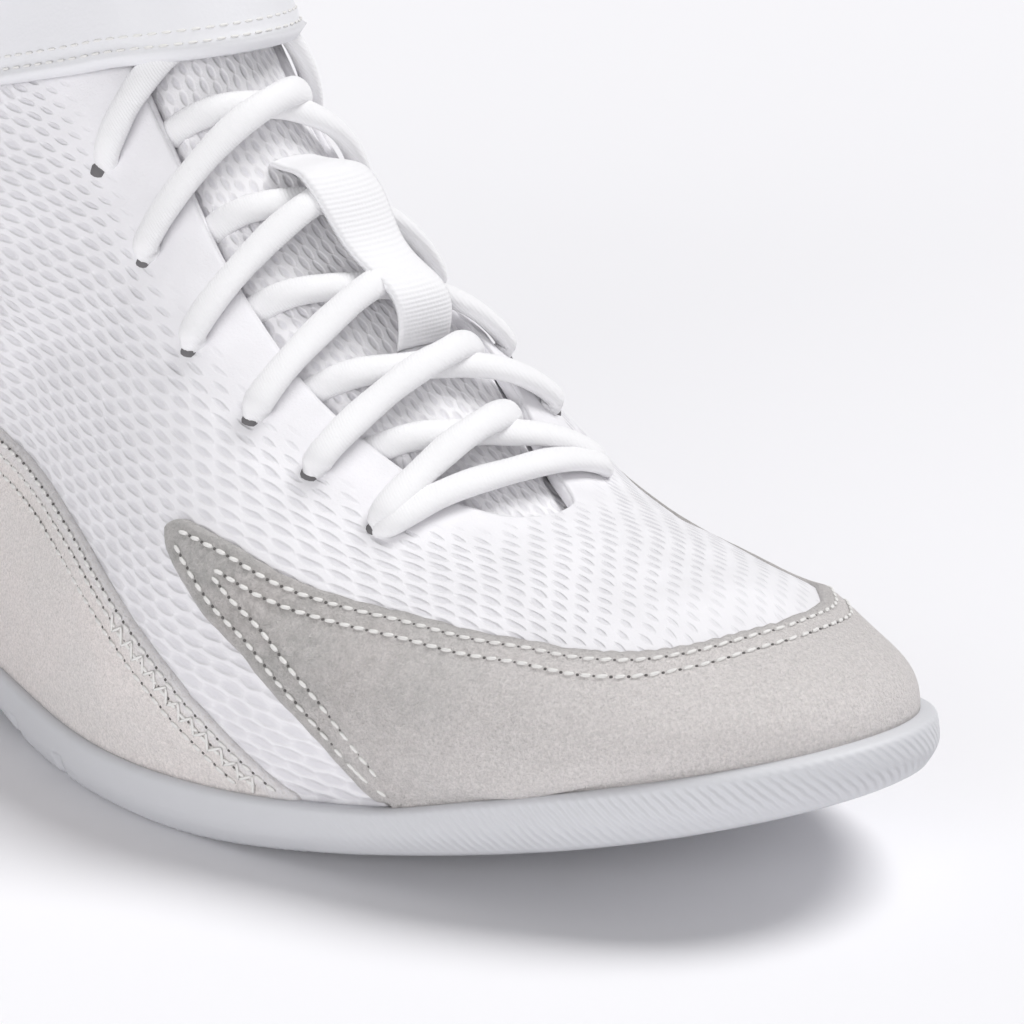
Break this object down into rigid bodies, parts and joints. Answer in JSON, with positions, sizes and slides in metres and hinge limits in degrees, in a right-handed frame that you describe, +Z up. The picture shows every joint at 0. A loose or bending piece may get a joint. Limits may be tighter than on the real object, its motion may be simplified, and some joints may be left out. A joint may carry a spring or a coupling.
{
  "type": "wrestling shoe",
  "caption": "High-top wrestling shoe with a mesh upper, suede toe and heel overlays, laced throat, ankle strap and a thin sprung rubber sole.",
  "frame": {"origin": "centre of the shoe's length and width, on the floor plane under the sole", "axes": "+X along the shoe from heel to toe, +Z up, +Y towards the inner side of the foot, so the outer side faces -Y"},
  "size_m": [0.2704, 0.0936, 0.169],
  "materials": {
    "white_rubber": "matte moulded rubber",
    "white_foam": "soft cloth-topped foam",
    "white_mesh": "open knitted mesh with long oval holes",
    "grey_suede": "brushed suede with white stitching",
    "white_film": "thin smooth layer bonded over the mesh",
    "white_spacer_mesh": "padded ribbed mesh",
    "white_synthetic": "smooth synthetic leather with rolled edges",
    "white_lace": "soft round-oval woven lace",
    "white_webbing": "flat woven tape"
  },
  "bodies": {
    "root": {"outsole": "white_rubber", "insole": "white_foam", "upper": "white_mesh", "toe_cap": "grey_suede", "heel_counter": "grey_suede", "eyestay": "white_film", "tongue": "white_spacer_mesh", "ankle_strap": "white_synthetic", "lace_crossing_1": "white_lace", "lace_crossing_2": "white_lace", "lace_crossing_3": "white_lace", "lace_crossing_4": "white_lace", "lace_crossing_5": "white_lace", "lace_end_outer": "white_lace", "lace_end_inner": "white_lace", "lace_keeper": "white_webbing"}
  },
  "joints": []
}
